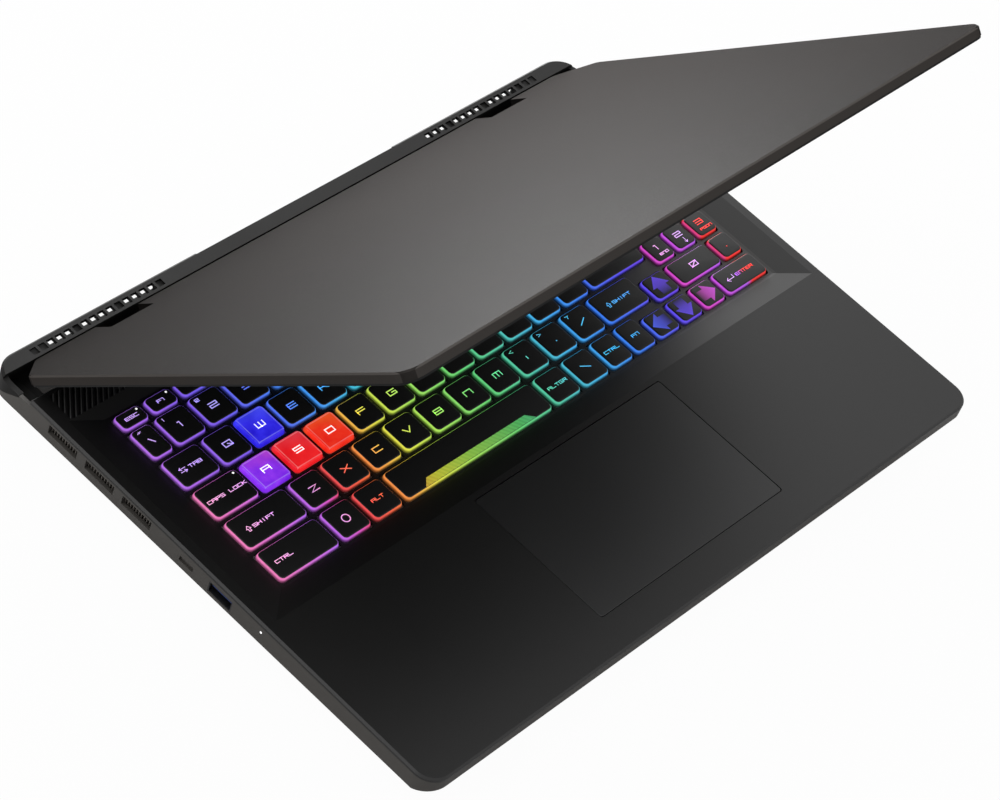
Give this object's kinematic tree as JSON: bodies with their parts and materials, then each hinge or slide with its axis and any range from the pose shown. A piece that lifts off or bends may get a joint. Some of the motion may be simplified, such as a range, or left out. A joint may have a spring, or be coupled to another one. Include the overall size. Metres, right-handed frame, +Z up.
{
  "type": "laptop computer",
  "caption": "Gaming-class laptop computer with a hinged metal lid, backlit keyboard with number pad, clicking touchpad, vented rear shelf, side ports and cooling fans inside.",
  "frame": {"origin": "middle of the base on the table, with the lid part open as in the picture", "axes": "+X to the user's right, +Y from the front edge to the rear, +Z up"},
  "size_m": [0.359, 0.2608, 0.1931],
  "materials": {
    "tray_grey": "fine satin texture",
    "deck_black": "soft matte coating with a bevelled rim",
    "housing_grey": "fine satin texture",
    "lid_titanium": "fine blasted metal with a bright bevel",
    "bezel_black": "fine grain",
    "screen": "smooth anti-glare film",
    "key_black": "soft matte top with translucent skirt",
    "key_clear": "translucent, lit from below",
    "pad_black": "matte etched glass",
    "rubber_black": "matte",
    "dome_rubber": "matte translucent",
    "steel": "satin",
    "hinge_steel": "dark plated",
    "port_steel": "satin plated",
    "port_black": "smooth",
    "fin_copper": "bare metal",
    "pipe_copper": "bare metal",
    "fan_black": "smooth",
    "board_black": "varnished board",
    "chip_metal": "satin",
    "battery_black": "smooth wrap"
  },
  "bodies": {
    "base": {"bottom_cover": "tray_grey", "palmrest_deck": "deck_black", "rear_vent_housing": "housing_grey", "touchpad_bracket": "steel", "keyboard_support_plate": "steel", "bottom_screws": "steel", "rubber_dome_sheet": "dome_rubber", "rubber_feet": "rubber_black", "hinge_base_left": "hinge_steel", "hinge_base_right": "hinge_steel", "usb_port_left": "port_steel", "usb_port_right": "port_steel", "video_port": "port_steel", "usb_c_port": "port_steel", "network_jack": "port_black", "audio_jack": "port_black", "power_inlet": "port_black", "rear_fin_stacks": "fin_copper", "side_fin_stacks": "fin_copper", "heat_pipes": "pipe_copper", "fan_case_left": "fan_black", "fan_case_right": "fan_black", "speakers": "fan_black", "motherboard": "board_black", "memory_modules": "board_black", "storage_drive": "board_black", "wireless_card": "board_black", "processor": "chip_metal", "graphics_chip": "chip_metal", "battery_pack": "battery_black"},
    "lid": {"lid_back_cover": "lid_titanium", "display_bezel": "bezel_black", "lcd_panel": "screen", "webcam_module": "fan_black", "hinge_arm_left": "hinge_steel", "hinge_arm_right": "hinge_steel", "hinge_pin_left": "steel", "hinge_pin_right": "steel"},
    "function_row_keys_body": {"function_row_keys": "key_black"},
    "power_button_body": {"power_button": "key_black"},
    "number_row_keys_body": {"number_row_keys": "key_black"},
    "upper_letter_row_keys_body": {"upper_letter_row_keys": "key_black"},
    "home_row_keys_body": {"home_row_keys": "key_black"},
    "lower_letter_row_keys_body": {"lower_letter_row_keys": "key_black"},
    "bottom_row_keys_body": {"bottom_row_keys": "key_black"},
    "space_bar_body": {"space_bar": "key_black"},
    "arrow_left_key_body": {"arrow_left_key": "key_black"},
    "arrow_down_key_body": {"arrow_down_key": "key_black"},
    "arrow_right_key_body": {"arrow_right_key": "key_black"},
    "arrow_up_key_body": {"arrow_up_key": "key_black"},
    "numpad_keys_body": {"numpad_keys": "key_black"},
    "key_w_body": {"key_w": "key_clear"},
    "key_a_body": {"key_a": "key_clear"},
    "key_s_body": {"key_s": "key_clear"},
    "key_d_body": {"key_d": "key_clear"},
    "touchpad_body": {"touchpad_plate": "pad_black"},
    "fan_left_body": {"fan_rotor_left": "fan_black"},
    "fan_right_body": {"fan_rotor_right": "fan_black"}
  },
  "joints": [
    {"name": "lid_hinge", "type": "hinge", "parent": "base", "child": "lid", "pos_m": [0, 0.11145, 0.0205], "axis": [-1, 0, 0], "range_deg": [-44.2, 90.8]},
    {"name": "function_row_press", "type": "slide", "parent": "base", "child": "function_row_keys_body", "axis": [0, 0, -1], "range_m": [0, 0.0015], "stiffness_N_per_m": 6300},
    {"name": "power_button_press", "type": "slide", "parent": "base", "child": "power_button_body", "axis": [0, 0, -1], "range_m": [0, 0.0015], "stiffness_N_per_m": 350},
    {"name": "number_row_press", "type": "slide", "parent": "base", "child": "number_row_keys_body", "axis": [0, 0, -1], "range_m": [0, 0.0015], "stiffness_N_per_m": 4900},
    {"name": "upper_letter_row_press", "type": "slide", "parent": "base", "child": "upper_letter_row_keys_body", "axis": [0, 0, -1], "range_m": [0, 0.0015], "stiffness_N_per_m": 4550},
    {"name": "home_row_press", "type": "slide", "parent": "base", "child": "home_row_keys_body", "axis": [0, 0, -1], "range_m": [0, 0.0015], "stiffness_N_per_m": 3500},
    {"name": "lower_letter_row_press", "type": "slide", "parent": "base", "child": "lower_letter_row_keys_body", "axis": [0, 0, -1], "range_m": [0, 0.0015], "stiffness_N_per_m": 4200},
    {"name": "bottom_row_press", "type": "slide", "parent": "base", "child": "bottom_row_keys_body", "axis": [0, 0, -1], "range_m": [0, 0.0015], "stiffness_N_per_m": 2450},
    {"name": "space_bar_press", "type": "slide", "parent": "base", "child": "space_bar_body", "axis": [0, 0, -1], "range_m": [0, 0.0015], "stiffness_N_per_m": 700},
    {"name": "arrow_left_press", "type": "slide", "parent": "base", "child": "arrow_left_key_body", "axis": [0, 0, -1], "range_m": [0, 0.0015], "stiffness_N_per_m": 350},
    {"name": "arrow_down_press", "type": "slide", "parent": "base", "child": "arrow_down_key_body", "axis": [0, 0, -1], "range_m": [0, 0.0015], "stiffness_N_per_m": 350},
    {"name": "arrow_right_press", "type": "slide", "parent": "base", "child": "arrow_right_key_body", "axis": [0, 0, -1], "range_m": [0, 0.0015], "stiffness_N_per_m": 350},
    {"name": "arrow_up_press", "type": "slide", "parent": "base", "child": "arrow_up_key_body", "axis": [0, 0, -1], "range_m": [0, 0.0015], "stiffness_N_per_m": 350},
    {"name": "numpad_press", "type": "slide", "parent": "base", "child": "numpad_keys_body", "axis": [0, 0, -1], "range_m": [0, 0.0015], "stiffness_N_per_m": 5250},
    {"name": "key_w_press", "type": "slide", "parent": "base", "child": "key_w_body", "axis": [0, 0, -1], "range_m": [0, 0.0015], "stiffness_N_per_m": 350},
    {"name": "key_a_press", "type": "slide", "parent": "base", "child": "key_a_body", "axis": [0, 0, -1], "range_m": [0, 0.0015], "stiffness_N_per_m": 350},
    {"name": "key_s_press", "type": "slide", "parent": "base", "child": "key_s_body", "axis": [0, 0, -1], "range_m": [0, 0.0015], "stiffness_N_per_m": 350},
    {"name": "key_d_press", "type": "slide", "parent": "base", "child": "key_d_body", "axis": [0, 0, -1], "range_m": [0, 0.0015], "stiffness_N_per_m": 350},
    {"name": "touchpad_click", "type": "hinge", "parent": "base", "child": "touchpad_body", "pos_m": [0, -0.04045, 0.02085], "axis": [1, 0, 0], "range_deg": [0, 0.4], "stiffness_Nm_per_rad": 14},
    {"name": "fan_left_spin", "type": "hinge", "parent": "base", "child": "fan_left_body", "pos_m": [-0.115, 0.05925, 0.009], "axis": [0, 0, 1], "continuous": true},
    {"name": "fan_right_spin", "type": "hinge", "parent": "base", "child": "fan_right_body", "pos_m": [0.115, 0.05925, 0.009], "axis": [0, 0, 1], "continuous": true}
  ]
}
